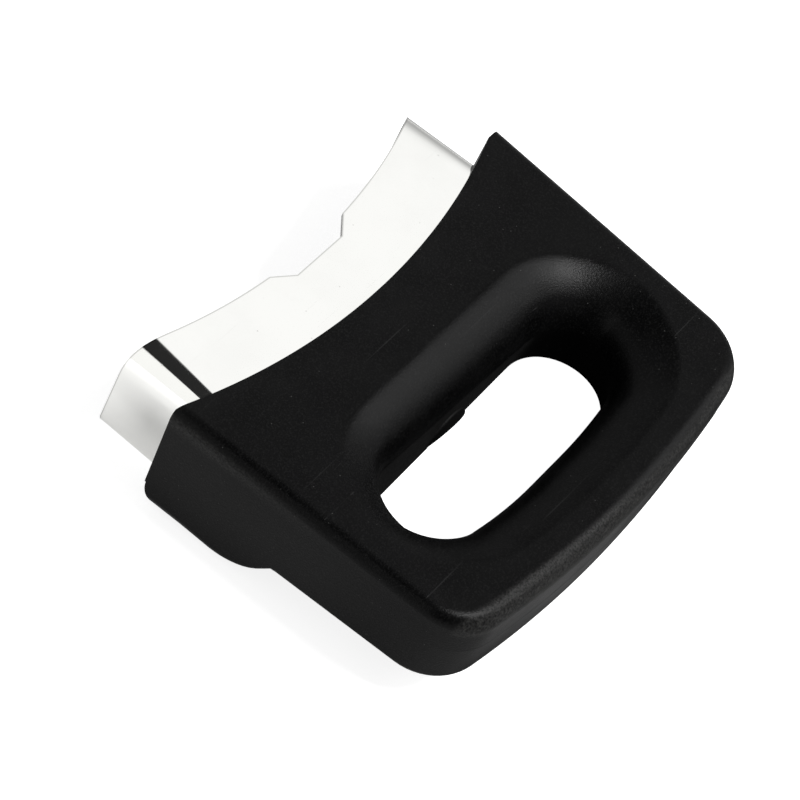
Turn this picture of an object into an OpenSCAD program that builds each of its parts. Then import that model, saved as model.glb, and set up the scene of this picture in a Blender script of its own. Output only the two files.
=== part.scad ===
// Side handle of a cooking pot: a moulded grip with a finger hole, a steel flame guard
// between the grip and the pot wall, and one tilted screw that draws both onto the pot.
// Frame: origin on the pot wall, at mid height of the flame guard. X runs along the wall,
// Y points away from the pot and Z is up. All sizes are in millimetres.

/* [Pot] */
// Outside radius of the pot wall that the handle sits against
pot_r = 110; // [90:1:140]

/* [Flame guard] */
// Outside width of the flame guard
guard_w = 72.6; // [60:0.2:76]
// Outside height of the flame guard
guard_h = 20; // [18:0.5:26]
// Thickness of the steel sheet
guard_sheet = 0.8; // [0.5:0.1:1.2]
// Outside radius of the two upper bends
guard_bend = 4; // [2:0.1:6]
// Outside radius of the two lower folds
guard_fold = 1.4; // [1.3:0.1:4]
// Length that shows between the pot wall and the grip
guard_show = 12.8; // [8:0.2:20]
// Length held in the groove of the grip
guard_tuck = 5; // [3:0.5:8]
// Width of the notch in the upper edge, at the pot wall
notch_mouth = 17.8; // [10:0.2:30]
// Width of the notch at its floor
notch_floor = 11.5; // [6:0.5:20]
// Depth of the notch
notch_deep = 2.2; // [1:0.1:5]

/* [Grip] */
// Width of the grip on the line of the pot wall
grip_w = 84.2; // [80:0.2:100]
// Width of the grip on the line of its front edge
front_w = 78.4; // [74:0.2:96]
// Distance from the pot wall to the middle of the front edge
reach = 63.4; // [60:0.2:72]
// Radius of the bow of the front edge, seen from above
front_bow_r = 195; // [120:1:400]
// Radius of the two front corners, seen from above
corner_r = 9.5; // [6:0.5:12]
// Width between the two flats at the pot end of the grip
flat_w = 77; // [70:0.5:82]
// Height of the grip above the flame guard
top_lip = 2.5; // [1.5:0.1:4]
// Height of the front bar where it leaves the base
bar_root_h = 16.4; // [14:0.2:18]
// Height of the front bar at the front edge
bar_front_h = 15.4; // [13:0.2:18]
// Distance from the pot wall to where the underside starts to roll up
roll_y = 18.7; // [16:0.1:20]
// Radius of the rolled underside
roll_r = 12; // [10:0.5:16]
// Radius of the upper edges along the two sides
edge_r = 2.2; // [1:0.1:4]
// Radius of the upper edge along the front
front_edge_r = 5; // [2:0.1:6]
// Radius of the lower edges
under_r = 2; // [1:0.1:3]

/* [Finger hole] */
// Length of the finger hole at its throat
hole_l = 53; // [44:0.2:56]
// Width of the finger hole at its throat
hole_w = 16.6; // [14:0.2:20]
// Distance from the pot wall to the middle of the hole
hole_y = 40.7; // [39:0.1:44]
// Radius of the flare from the top into the hole
flare_r = 9; // [4:0.5:10]
// Angle at which the flare leaves the top face
flare_break = 9; // [5:1:20]
// Radius of the rounding at the underside of the hole
under_flare_r = 1.2; // [0.6:0.1:4]

/* [Fixing screw] */
// Thread diameter
screw_d = 5; // [4:0.5:6]
// Length under the head
screw_l = 20; // [18:1:24]
// Length of the threaded end
thread_l = 10; // [8:0.5:12]
// Diameter of the plain shank above the thread
shank_d = 4.4; // [3.5:0.1:5.5]
// Height of the chamfer on the tip
tip_chamfer = 0.6; // [0.2:0.1:1]
// Head diameter
head_d = 8.5; // [7:0.1:9]
// Head height
head_h = 3.3; // [2.5:0.1:4]
// Rounding of the head's outer edge
head_round = 0.8; // [0.3:0.1:1.2]
// Width across the wings of the cross recess
recess_span = 4.6; // [3:0.1:6]
// Width of one wing of the cross recess
recess_wing = 1.2; // [0.8:0.1:1.8]
// Depth of the cross recess
recess_deep = 2.2; // [1:0.1:2.4]
// Tilt of the screw above the horizontal, towards the pot
screw_tilt = 18; // [10:1:30]
// Depth of the head below the face of the boss
head_sink = 0.8; // [0.3:0.1:2]

/* [Washers] */
// Outside diameter of the spring washer
spring_d = 8.5; // [7:0.1:9]
// Thickness of the spring washer
spring_t = 1.6; // [1:0.1:2]
// Width of the split in the spring washer
spring_gap = 1; // [0.5:0.1:2]
// Slant of the split in the spring washer
spring_slant = 25; // [10:1:35]
// Outside diameter of the plain washer
plain_d = 9; // [7:0.1:9.2]
// Thickness of the plain washer
plain_t = 1; // [0.5:0.1:1.5]

/* [Boss and bracket socket] */
// Wall of the boss round the counterbore
boss_wall = 0.8; // [0.8:0.1:2]
// Distance of the middle of the boss's face behind the wall of the finger hole
boss_set = 0.3; // [0:0.1:2]
// Least wall between the counterbore and the underside
boss_floor = 0.8; // [0.5:0.1:2]
// Width of the socket for the pot's bracket
socket_w = 30; // [20:1:36]
// Wall of the grip between the socket and the groove for the flame guard
socket_lip = 2.1; // [1.5:0.1:3]
// Depth of the socket behind the middle of the grip's end face
socket_deep = 8; // [5:0.5:9]

/* [Clearances] */
// Gap between the flame guard and its groove, each side
guard_gap = 0.1; // [0.05:0.05:0.3]
// Gap round the screw's thread in the grip
screw_gap = 0.3; // [0.2:0.05:0.5]
// Gap round the head and washers in the counterbore
cbore_gap = 0.2; // [0.1:0.05:0.5]
// Gap between the screw's head and the spring washer, so that the head can turn
turn_gap = 0.1; // [0.05:0.05:0.3]
// Gap round the screw's thread in the washers
washer_gap = 0.15; // [0.1:0.05:0.3]

/* [Hidden] */
$fn = 128;
seat_r = pot_r + guard_show;
tuck_r = seat_r + guard_tuck;
base_z = -guard_h/2;
top_z = guard_h/2 + top_lip;
end_y = sqrt(seat_r*seat_r - flat_w*flat_w/4) - pot_r;
past = 2;
least_r = 0.1;
corner_share = 0.8;
tall = 2*(top_z - base_z);

taper = atan((grip_w - front_w)/2/reach);
side_c = grip_w/2*cos(taper);
front_r = min(front_edge_r, corner_share*corner_r);
bow_y = reach - front_bow_r;
corner_t = asin((side_c - corner_r - bow_y*sin(taper))/(front_bow_r - corner_r)) - taper;
corner_c = [(front_bow_r - corner_r)*sin(corner_t),
            bow_y + (front_bow_r - corner_r)*cos(corner_t)];

hole_r = hole_w/2;
hole_run = hole_l/2 - hole_r;
flare_z = top_z - flare_r*cos(flare_break);
hole_back_y = hole_y - hole_r;

cbore_d = max(head_d, spring_d, plain_d) + 2*cbore_gap;
boss_r = cbore_d/2 + boss_wall;
boss_y = hole_back_y - boss_set;
boss_z = base_z + (cbore_d/2 + boss_floor)*cos(screw_tilt);
head_z = head_sink + head_h;
spring_z = head_z + turn_gap;
plain_z = spring_z + spring_t;
cbore_deep = plain_z + plain_t;
socket_floor_y = guard_show + socket_deep;
socket_h = guard_h - 2*(guard_sheet + guard_gap + socket_lip);
bore_d = screw_d + 2*screw_gap;
washer_bore_d = screw_d + 2*washer_gap;

// Steps of the outline and of the rounded edges
roll_steps = 6;
side_steps = 4;
corner_steps = 8;
front_steps = 8;
edge_steps = 4;
run_on = 0.4;

// Height of the underside at a distance y from the pot wall
function bar_z(y) = top_z - bar_root_h
    + (bar_root_h - bar_front_h)*(y - hole_back_y)/(reach - hole_back_y);
function roll_z(y) = y <= roll_y ? base_z
    : y >= roll_y + roll_r ? base_z + roll_r
    : base_z + roll_r - sqrt(roll_r*roll_r - (y - roll_y)*(y - roll_y));
function under_z(y) = min(bar_z(y), roll_z(y));

// Right half of the outline seen from above, from the pot to the front. Each entry holds the
// point, the direction it is drawn in from and the radius of the upper edge there
side_end_y = corner_c[1] + corner_r*sin(taper);
roll_end_y = roll_y + roll_r*sin(acos(1 - (bar_z(roll_y + roll_r) - base_z)/roll_r));
side_ys = concat([0],
    [for (i = [0:roll_steps]) roll_y + (roll_end_y - roll_y)*i/roll_steps],
    [for (i = [1:side_steps - 1]) roll_end_y + (side_end_y - roll_end_y)*i/side_steps]);
half_plan = concat(
    [for (y = side_ys)
        [[(side_c - y*sin(taper))/cos(taper), y], [cos(taper), sin(taper)], edge_r]],
    [for (i = [0:corner_steps])
        let (a = taper + (90 - corner_t - taper)*i/corner_steps)
        [corner_c + corner_r*[cos(a), sin(a)], [cos(a), sin(a)],
         edge_r + (front_r - edge_r)*i/corner_steps]],
    [for (i = [1:front_steps])
        let (t = corner_t*(1 - i/front_steps))
        [[front_bow_r*sin(t), bow_y + front_bow_r*cos(t)], [sin(t), cos(t)], front_r]]);
half_count = len(half_plan);
plan = concat(half_plan, [for (i = [half_count - 2:-1:0])
    let (q = half_plan[i])
    [[-q[0][0], q[0][1]], [-q[1][0], q[1][1]], q[2]]]);
count = len(plan);

// One ring of the grip's skin: lower rings follow the underside, upper rings the top face
function lower_ring(a) = [for (q = plan)
    let (p = q[0] - under_r*(1 - sin(a))*q[1])
    [p[0], p[1], under_z(q[0][1]) + under_r*(1 - cos(a))]];
function upper_ring(a) = [for (q = plan)
    let (p = q[0] - q[2]*(1 - cos(a))*q[1])
    [p[0], p[1], top_z - q[2]*(1 - sin(a))]];
lower = [for (i = [0:edge_steps]) lower_ring(90*i/edge_steps)];
upper = [for (i = [0:edge_steps]) upper_ring(90*i/edge_steps)];
// The last facets of the upper edge run on past the top face, which is then cut level
over = upper[edge_steps] + run_on*(upper[edge_steps] - upper[edge_steps - 1]);
rings = concat(lower, [for (i = [0:edge_steps - 1]) upper[i]], [over]);

// Solid skin of the grip before anything is cut into it
module grip_skin() {
    points = [for (r = rings) for (p = r) p];
    walls = [for (k = [0:len(rings) - 2]) for (i = [0:count - 1])
        let (a = k*count + i, b = k*count + (i + 1)%count)
        each [[a, a + count, b + count], [a, b + count, b]]];
    lid = (len(rings) - 1)*count;
    strips = [for (i = [0:half_count - 3])
        each [[i, i + 1, count - 2 - i], [i, count - 2 - i, count - 1 - i]]];
    tip = [[half_count - 2, half_count - 1, half_count]];
    below = concat(strips, tip);
    above = [for (t = below) [t[2] + lid, t[1] + lid, t[0] + lid]];
    polyhedron(points, concat(walls, below, above), convexity = 6);
}

// Upright cylinder about the pot's axis
module about_pot(r) {
    translate([0, -pot_r, -tall/2])
        cylinder(r = r, h = tall, $fn = 256);
}

// Half section of the finger hole: straight throat, flared above and rounded below
module hole_section() {
    under = bar_z(hole_y);
    low_r = hole_r + under_flare_r;
    top_r = hole_r + flare_r*(1 - sin(flare_break));
    difference() {
        polygon([[0, under - past], [low_r, under - past], [low_r, under],
                 [hole_r, under + under_flare_r], [hole_r, flare_z],
                 [top_r, top_z], [top_r, top_z + past], [0, top_z + past]]);
        translate([low_r, under + under_flare_r])
            circle(r = under_flare_r);
        translate([hole_r + flare_r, flare_z])
            circle(r = flare_r);
    }
}

// Finger hole: a straight middle with a half round at each end
module finger_hole() {
    translate([0, hole_y, 0]) {
        for (side = [0, 180])
            rotate(side)
                translate([hole_run, 0, 0])
                    rotate(-90)
                        rotate_extrude(angle = 180)
                            hole_section();
        for (side = [0, 180])
            rotate(side)
                translate([-hole_run, 0, 0])
                    rotate([90, 0, 90])
                        linear_extrude(2*hole_run)
                            hole_section();
    }
}

// Places a child on the screw's axis: z = 0 on the face of the boss, z grows towards the pot
module on_screw_axis() {
    translate([0, boss_y, boss_z])
        rotate([90 - screw_tilt, 0, 0])
            children();
}

// What rounds off the upper right corner of a rectangle to radius r
module corner_cut(r) {
    difference() {
        square(r + past);
        circle(r = r);
    }
}

// Cross section of the flame guard's outside, grown by g
module guard_outline(g) {
    w = guard_w/2;
    h = guard_h/2;
    bend = max(guard_bend + g, least_r);
    fold = max(guard_fold + g, least_r);
    difference() {
        translate([-w - g, -h - g])
            square([2*(w + g), 2*(h + g)]);
        for (side = [0, 1])
            mirror([side, 0]) {
                translate([w + g - bend, h + g - bend])
                    corner_cut(bend);
                translate([w + g - fold, -h - g + fold])
                    rotate(-90)
                        corner_cut(fold);
            }
    }
}

// Tube of the flame guard's section along Y, between two amounts of growth
module guard_tube(outer, inner) {
    translate([0, tuck_r - pot_r + past, 0])
        rotate([90, 0, 0])
            linear_extrude(tuck_r)
                difference() {
                    guard_outline(outer);
                    guard_outline(inner);
                }
}

module grip() {
    color("#1c1c1d")
    difference() {
        union() {
            difference() {
                grip_skin();
                translate([-grip_w, -past, top_z])
                    cube([2*grip_w, reach + 2*past, past]);
                finger_hole();
            }
            intersection() {
                on_screw_axis()
                    cylinder(d = 2*boss_r, h = cbore_deep + boss_wall);
                translate([-grip_w/2, 0, base_z])
                    cube([grip_w, reach, tall]);
            }
        }
        about_pot(seat_r);
        translate([-grip_w, end_y - seat_r, base_z - past])
            cube([2*grip_w, seat_r, tall]);
        intersection() {
            guard_tube(guard_gap, -guard_sheet - guard_gap);
            about_pot(tuck_r);
        }
        translate([-socket_w/2, 0, -socket_h/2])
            cube([socket_w, socket_floor_y, socket_h]);
        on_screw_axis()
            translate([0, 0, -2*boss_r])
                cylinder(d = cbore_d, h = cbore_deep + 2*boss_r);
        on_screw_axis()
            cylinder(d = bore_d, h = (boss_y - guard_show)/cos(screw_tilt));
    }
}

module flame_guard() {
    color("#d8d9d6")
    difference() {
        intersection() {
            guard_tube(0, -guard_sheet);
            about_pot(tuck_r - guard_gap);
        }
        about_pot(pot_r);
        slope = (notch_mouth - notch_floor)/2/notch_deep;
        linear_extrude(top_z)
            polygon([[-notch_mouth/2 - slope*past, -past], [notch_mouth/2 + slope*past, -past],
                     [notch_floor/2, notch_deep], [-notch_floor/2, notch_deep]]);
    }
}

module fixing_screw() {
    color("#b9bbbd")
    on_screw_axis()
        difference() {
            union() {
                translate([0, 0, head_sink])
                    rotate_extrude()
                        union() {
                            square([head_d/2 - head_round, head_h]);
                            translate([0, head_round])
                                square([head_d/2, head_h - head_round]);
                            translate([head_d/2 - head_round, head_round])
                                circle(r = head_round);
                        }
                translate([0, 0, head_z - past/2])
                    cylinder(d = shank_d, h = screw_l - thread_l + past);
                translate([0, 0, head_z + screw_l - thread_l])
                    cylinder(d = screw_d, h = thread_l - tip_chamfer);
                translate([0, 0, head_z + screw_l - tip_chamfer])
                    cylinder(d1 = screw_d, d2 = screw_d - 2*tip_chamfer, h = tip_chamfer);
            }
            for (turn = [0, 90])
                rotate(turn)
                    translate([-recess_span/2, -recess_wing/2, head_sink - past])
                        cube([recess_span, recess_wing, recess_deep + past]);
        }
}

module spring_washer() {
    color("#a9abad")
    on_screw_axis()
        translate([0, 0, spring_z])
            difference() {
                cylinder(d = spring_d, h = spring_t);
                translate([0, 0, -past])
                    cylinder(d = washer_bore_d, h = spring_t + 2*past);
                translate([0, 0, spring_t/2])
                    rotate([spring_slant, 0, 0])
                        translate([0, -spring_gap/2, -spring_d])
                            cube([spring_d, spring_gap, 2*spring_d]);
            }
}

module plain_washer() {
    color("#b4b6b8")
    on_screw_axis()
        translate([0, 0, plain_z])
            difference() {
                cylinder(d = plain_d, h = plain_t);
                translate([0, 0, -past])
                    cylinder(d = washer_bore_d, h = plain_t + 2*past);
            }
}

grip();
flame_guard();
fixing_screw();
spring_washer();
plain_washer();
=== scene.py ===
import math

import bmesh
import bpy
from mathutils import Matrix, Vector


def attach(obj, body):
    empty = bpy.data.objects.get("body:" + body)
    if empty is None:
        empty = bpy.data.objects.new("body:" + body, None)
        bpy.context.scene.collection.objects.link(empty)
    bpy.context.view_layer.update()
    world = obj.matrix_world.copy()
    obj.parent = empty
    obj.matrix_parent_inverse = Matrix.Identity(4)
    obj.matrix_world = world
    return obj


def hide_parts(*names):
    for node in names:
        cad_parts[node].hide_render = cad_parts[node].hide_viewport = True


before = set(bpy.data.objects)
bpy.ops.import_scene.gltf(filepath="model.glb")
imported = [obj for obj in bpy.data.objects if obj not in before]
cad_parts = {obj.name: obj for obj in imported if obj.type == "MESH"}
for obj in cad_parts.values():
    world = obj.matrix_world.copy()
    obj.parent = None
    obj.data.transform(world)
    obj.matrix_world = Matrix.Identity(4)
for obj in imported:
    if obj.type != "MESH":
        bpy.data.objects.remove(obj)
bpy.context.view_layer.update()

# GRIP
# The black moulding that the fingers lift by, pressed from phenolic in a two-part mould. Its end
# face is hollowed to the pot, a groove there holds the flame guard, and the screw's boss stands
# at the foot of the finger hole. All sizes here are in millimetres.

MM = 0.001
POT_RADIUS = 110.0
END_FACE_RADIUS = 122.8
GROOVE_END_RADIUS = 127.8
EAR_HALF_WIDTH, EAR_ROUND, EAR_ROUND_FROM = 38.5, 4.5, 36.45
EAR_SET_BACK, EAR_LEAN = 0.44, 0.038
GRIP_TOP, GRIP_BASE = 12.5, -10.0
GRIP_WIDTH, FRONT_WIDTH, GRIP_REACH = 84.2, 78.4, 63.4
BOW_RADIUS, CORNER_RADIUS = 195.0, 9.5
FAR_BOW_RADIUS, FAR_CORNER_RADIUS = 258.0, 10.6
SIDE_EDGE_RADIUS, FRONT_EDGE_RADIUS = 2.2, 3.0
LOWER_EDGE_BASE, LOWER_EDGE_BAR, LOWER_EDGE_FROM, LOWER_EDGE_TO = 2.2, 1.1, 16.0, 26.0
BAR_ROOT, BAR_FRONT = 16.4, 15.4
ROLL_START, ROLL_RADIUS, ROLL_SOFTNESS = 18.7, 12.0, 0.3
HOLE_Y, HOLE_RADIUS, HOLE_RUN = 40.7, 8.3, 18.2
THROAT_SKEW, THROAT_TRUE_X, FOOT_SKEW = 0.034, -6.5, -0.5
HOLE_FRONT_TRIM, HOLE_FAR_TRIM, HOLE_CORNER_TRIM, HOLE_STRAIGHT = 1.25, 0.85, 0.75, 4.0
FLARE_OUT, FLARE_DEEP, HOLE_LOWER_ROUND = 8.8, 8.4, 0.25
FLARE_SLOPES = ((0.0, 5.0), (0.1, 19.0), (0.5, 34.0), (1.0, 85.0))
PARTING_DROP, PARTING_RIDGE, PARTING_HALF = 7.5, 0.035, 0.12
FRONT_DRAFT, UPPER_DRAFT_SHARE = 0.25, 0.2
BLANK_END_Y = 0.0


def underside(y):
    """Height of the moulding's underside: flat base, rolled up to the sloping front bar."""
    root_y = HOLE_Y - HOLE_RADIUS
    bar = GRIP_TOP - BAR_ROOT + (BAR_ROOT - BAR_FRONT) * (y - root_y) / (GRIP_REACH - root_y)
    run = min(max(y - ROLL_START, 0.0), ROLL_RADIUS)
    roll = GRIP_BASE + ROLL_RADIUS - math.sqrt(ROLL_RADIUS ** 2 - run ** 2)
    low = min(bar, roll)
    near = math.exp((low - bar) / ROLL_SOFTNESS) + math.exp((low - roll) / ROLL_SOFTNESS)
    return low - ROLL_SOFTNESS * math.log(near)


# Each ray runs from the finger hole out to the outline: centre and direction at the hole, then
# place and direction on the outline, radius of the upper edge there and share of the front's draft.
taper = math.atan((GRIP_WIDTH - FRONT_WIDTH) / 2 / GRIP_REACH)
side_reach = GRIP_WIDTH / 2 * math.cos(taper)
roll_left = ROLL_RADIUS + GRIP_BASE - GRIP_TOP + BAR_ROOT
roll_end_y = ROLL_START + math.sqrt(ROLL_RADIUS ** 2 - roll_left ** 2)


def on_bow(turn, bow_radius):
    away = Vector((math.sin(turn), math.cos(turn)))
    return away * bow_radius + Vector((0, GRIP_REACH - bow_radius)), away


def on_side(y):
    x = (side_reach - y * math.sin(taper)) / math.cos(taper)
    return Vector((x, y)), Vector((math.cos(taper), math.sin(taper)))


def spread(first, last, count):
    return [first + (last - first) * i / count for i in range(1, count + 1)]


FRONT_FAN, END_FAN, FAN_STEPS = 24.0, 27.0, 10
BOW_STEPS, CORNER_STEPS, SIDE_STEPS, ROLL_STEPS, END_STEPS = 4, 12, 6, 12, 4
TOWARD_FRONT, TOWARD_POT = Vector((0, 1)), Vector((0, -1))


def half_of_rays(bow_radius, corner_radius):
    """The rays of one half, from the middle of the front round to the middle of the pot end."""
    bow_y, inner_bow = GRIP_REACH - bow_radius, bow_radius - corner_radius
    fan_turn = math.asin(FRONT_FAN / bow_radius)
    bow_turn = math.asin((side_reach - corner_radius - bow_y * math.sin(taper)) / inner_bow) - taper
    corner_at = Vector((math.sin(bow_turn), math.cos(bow_turn))) * inner_bow + Vector((0, bow_y))
    side_top_y = corner_at.y + corner_radius * math.sin(taper)
    bow_turns = spread(fan_turn, bow_turn, BOW_STEPS)
    rim = [(*on_bow(t, bow_radius), FRONT_EDGE_RADIUS, 1.0) for t in bow_turns]
    for a in spread(math.pi / 2 - bow_turn, taper, CORNER_STEPS):
        share = (a - taper) / (math.pi / 2 - bow_turn - taper)
        away = Vector((math.cos(a), math.sin(a)))
        share = share * share * (3 - 2 * share)
        edge = SIDE_EDGE_RADIUS + (FRONT_EDGE_RADIUS - SIDE_EDGE_RADIUS) * share
        rim.append((corner_at + away * corner_radius, away, edge, share))
    side_ys = spread(side_top_y, roll_end_y + 1, SIDE_STEPS)
    side_ys += spread(roll_end_y + 1, ROLL_START, ROLL_STEPS)
    for y in side_ys + spread(ROLL_START, BLANK_END_Y, END_STEPS):
        rim.append((*on_side(y), SIDE_EDGE_RADIUS, 0.0))
    blank_corner_x = rim[-1][0].x
    for x in spread(blank_corner_x, END_FAN, END_STEPS):
        rim.append((Vector((x, BLANK_END_Y)), TOWARD_POT, SIDE_EDGE_RADIUS, 0.0))
    half = []
    for i in range(FAN_STEPS + 1):
        front = on_bow(fan_turn * i / FAN_STEPS, bow_radius)
        half.append((HOLE_RUN * i / FAN_STEPS, TOWARD_FRONT, *front, FRONT_EDGE_RADIUS, 1.0))
    for i, entry in enumerate(rim):
        a = math.pi / 2 - math.pi * (i + 1) / len(rim)
        half.append((HOLE_RUN, Vector((math.cos(a), math.sin(a))), *entry))
    for i in range(1, FAN_STEPS + 1):
        left = 1 - i / FAN_STEPS
        end = Vector((END_FAN * left, BLANK_END_Y))
        half.append((HOLE_RUN * left, TOWARD_POT, end, TOWARD_POT, SIDE_EDGE_RADIUS, 0.0))
    return half


def mirrored(entry):
    centre, toward, place, away, edge, draft = entry
    flip = lambda v: Vector((-v.x, v.y))
    return -centre, flip(toward), flip(place), flip(away), edge, draft


far_half = half_of_rays(FAR_BOW_RADIUS, FAR_CORNER_RADIUS)
rays = half_of_rays(BOW_RADIUS, CORNER_RADIUS) + [mirrored(entry) for entry in far_half[-2:0:-1]]


def front_trim(centre, toward):
    """How much the two front corners of the finger hole are drawn in from a plain oblong."""
    if toward.y < 0:
        return 0.0
    trim = HOLE_FRONT_TRIM if centre > 0 else HOLE_FAR_TRIM
    if toward.x == 0:
        return trim * max(0.0, (abs(centre) - HOLE_STRAIGHT) / (HOLE_RUN - HOLE_STRAIGHT)) ** 2
    share = math.acos(min(1.0, toward.y)) / (math.pi / 2)
    return trim * (1 - share) + HOLE_CORNER_TRIM * math.sin(math.pi * share)


def hole_ring(radius, height, askew=0.0, foot=False):
    """A ring round the finger hole; height is a number or a rule that takes the ring's y. The
    throat stands a little askew on the pot side, and askew says how much of that a ring takes.
    At the foot the far end isn't drawn in."""
    ring = []
    for centre, toward, *_ in rays:
        wide = radius - (0.0 if foot and centre < 0 else front_trim(centre, toward))
        x, y, back = centre + wide * toward.x, HOLE_Y + wide * toward.y, max(0.0, -toward.y)
        y -= askew * back * THROAT_SKEW * (x - THROAT_TRUE_X)
        z = height(y) if callable(height) else height
        ring.append(Vector((x, y, z)))
    return ring


def edge_ring(angle):
    """A ring of the rounded upper edge, from level with the top (90) to the side wall (0)."""
    ring = []
    for _, _, place, away, edge, draft in rays:
        inward = edge * (1 - math.cos(angle)) + UPPER_DRAFT_SHARE * FRONT_DRAFT * draft
        at = place - away * inward
        ring.append(Vector((at.x, at.y, GRIP_TOP - edge * (1 - math.sin(angle)))))
    return ring


def side_ring(z, outward):
    """A ring of the side wall, moved out along the front only."""
    ring = []
    for _, _, place, away, _, draft in rays:
        at = place + away * (outward * draft)
        ring.append(Vector((at.x, at.y, z)))
    return ring


def lower_ring(angle):
    """A ring of the rounded lower edge, from the side wall (90) to the underside (0)."""
    ring = []
    for _, _, place, away, _, draft in rays:
        along_bar = (place.y - LOWER_EDGE_FROM) / (LOWER_EDGE_TO - LOWER_EDGE_FROM)
        along_bar = min(max(along_bar, 0.0), 1.0)
        radius = LOWER_EDGE_BASE + (LOWER_EDGE_BAR - LOWER_EDGE_BASE) * along_bar
        at = place - away * (radius * (1 - math.sin(angle)) + FRONT_DRAFT * draft)
        ring.append(Vector((at.x, at.y, underside(place.y) + radius * (1 - math.cos(angle)))))
    return ring


def between(first, last, count, height=None):
    """Rings evenly spaced between two others, without the two."""
    made = []
    for k in range(1, count):
        ring = [a.lerp(b, k / count) for a, b in zip(first, last)]
        if height:
            ring = [Vector((p.x, p.y, height(p.y))) for p in ring]
        made.append(ring)
    return made


def flare_walk(steps):
    """Shares of the flare's width and depth on the way from the top down to the throat. It breaks
    from the top at once, runs as an easy slope, then turns down into the hole."""
    walk = [Vector((0, 0))]
    for i in range(steps):
        share = (i + 0.5) / steps
        legs = zip(FLARE_SLOPES, FLARE_SLOPES[1:])
        (first, low), (last, high) = next(leg for leg in legs if share <= leg[1][0])
        slope = math.radians(low + (high - low) * (share - first) / (last - first))
        walk.append(walk[-1] + Vector((math.cos(slope), math.sin(slope))))
    return [(at.x / walk[-1].x, at.y / walk[-1].y) for at in walk]


FLARE_RINGS, TOP_RINGS, EDGE_RINGS, LOWER_EDGE_RINGS = 28, 4, 8, 6
UNDERSIDE_RINGS, FOOT_RINGS, THROAT_RINGS = 26, 4, 4
quarter = lambda count: [math.pi / 2 * i / count for i in range(count + 1)]
parting_z = GRIP_TOP - PARTING_DROP
rings = []
for inward, down in reversed(flare_walk(FLARE_RINGS)):
    wide = HOLE_RADIUS + FLARE_OUT * (1 - inward)
    rings.append(hole_ring(wide, GRIP_TOP - FLARE_DEEP * down, down))
rings += between(rings[-1], edge_ring(math.pi / 2), TOP_RINGS)
rings += [edge_ring(a) for a in reversed(quarter(EDGE_RINGS))]
rings.append(side_ring(parting_z + PARTING_HALF, 0.0))
rings.append(side_ring(parting_z, PARTING_RIDGE))
rings.append(side_ring(parting_z - PARTING_HALF, 0.0))
rings += [lower_ring(a) for a in reversed(quarter(LOWER_EDGE_RINGS))]
hole_foot = hole_ring(HOLE_RADIUS + HOLE_LOWER_ROUND, underside, FOOT_SKEW, True)
rings += between(rings[-1], hole_foot, UNDERSIDE_RINGS, underside)
for a in quarter(FOOT_RINGS):
    lift = HOLE_LOWER_ROUND * (1 - math.cos(a))
    wide = HOLE_RADIUS + HOLE_LOWER_ROUND * (1 - math.sin(a))
    rings.append(hole_ring(wide, lambda y: underside(y) + lift, FOOT_SKEW, True))
rings += between(rings[-1], rings[0], THROAT_RINGS)
rings.append(rings[0])


def clear_selection():
    if bpy.context.object and bpy.context.object.mode != "OBJECT":
        bpy.ops.object.mode_set(mode="OBJECT")
    bpy.ops.object.select_all(action="DESELECT")


def make_active(piece):
    clear_selection()
    bpy.context.view_layer.objects.active = piece
    piece.select_set(True)


def named(name):
    piece = bpy.context.object
    piece.name = piece.data.name = name
    return piece


MERGE_WITHIN = 1e-7


def ringed_solid(name, rings):
    """A loop of edges drawn out from ring to ring; the last ring closes onto the first."""
    clear_selection()
    bpy.ops.mesh.primitive_circle_add(vertices=len(rings[0]), radius=HOLE_RADIUS * MM)
    piece = named(name)
    bpy.ops.object.mode_set(mode="EDIT")
    bpy.ops.mesh.select_all(action="SELECT")
    mesh = bmesh.from_edit_mesh(piece.data)
    ray = mesh.verts.layers.int.new("ray")
    for v in mesh.verts:
        v[ray] = v.index
        v.co = rings[0][v.index] * MM
    bmesh.update_edit_mesh(piece.data)
    for ring in rings[1:]:
        bpy.ops.mesh.extrude_region_move()
        mesh = bmesh.from_edit_mesh(piece.data)
        ray = mesh.verts.layers.int["ray"]
        for v in mesh.verts:
            if v.select:
                v.co = ring[v[ray]] * MM
        bmesh.update_edit_mesh(piece.data)
    bpy.ops.mesh.select_all(action="SELECT")
    bpy.ops.mesh.remove_doubles(threshold=MERGE_WITHIN)
    bpy.ops.mesh.normals_make_consistent(inside=False)
    bpy.ops.object.mode_set(mode="OBJECT")
    return piece


def carve(piece, tool, operation="DIFFERENCE"):
    """Cuts a tool out of a piece, joins it on, or keeps what they share. The tool goes away."""
    make_active(piece)
    cut = piece.modifiers.new("carve", "BOOLEAN")
    cut.operation, cut.solver, cut.object = operation, "EXACT", tool
    bpy.ops.object.modifier_apply(modifier=cut.name)
    bpy.data.objects.remove(tool)


POT_FACETS, POT_TALL = 900, 80.0


def pot_cylinder(radius):
    """A cylinder on the pot's axis, taller than the handle."""
    clear_selection()
    bpy.ops.mesh.primitive_cylinder_add(vertices=POT_FACETS, radius=radius * MM,
                                        depth=POT_TALL * MM, location=(0, -POT_RADIUS * MM, 0))
    bpy.ops.object.transform_apply()
    return named("pot_cylinder")


def block(low, high):
    """A box between two corners."""
    clear_selection()
    centre = [(a + b) / 2 * MM for a, b in zip(low, high)]
    size = [(b - a) * MM for a, b in zip(low, high)]
    bpy.ops.mesh.primitive_cube_add(size=1, location=centre, scale=size)
    bpy.ops.object.transform_apply()
    return named("block")


def select_verts(piece, wanted):
    """Selects, in edit mode, the vertices that a rule accepts, and no others."""
    bpy.ops.mesh.select_all(action="DESELECT")
    mesh = bmesh.from_edit_mesh(piece.data)
    for v in mesh.verts:
        if wanted(v):
            v.select_set(True)
    mesh.select_flush_mode()
    bmesh.update_edit_mesh(piece.data)


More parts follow.
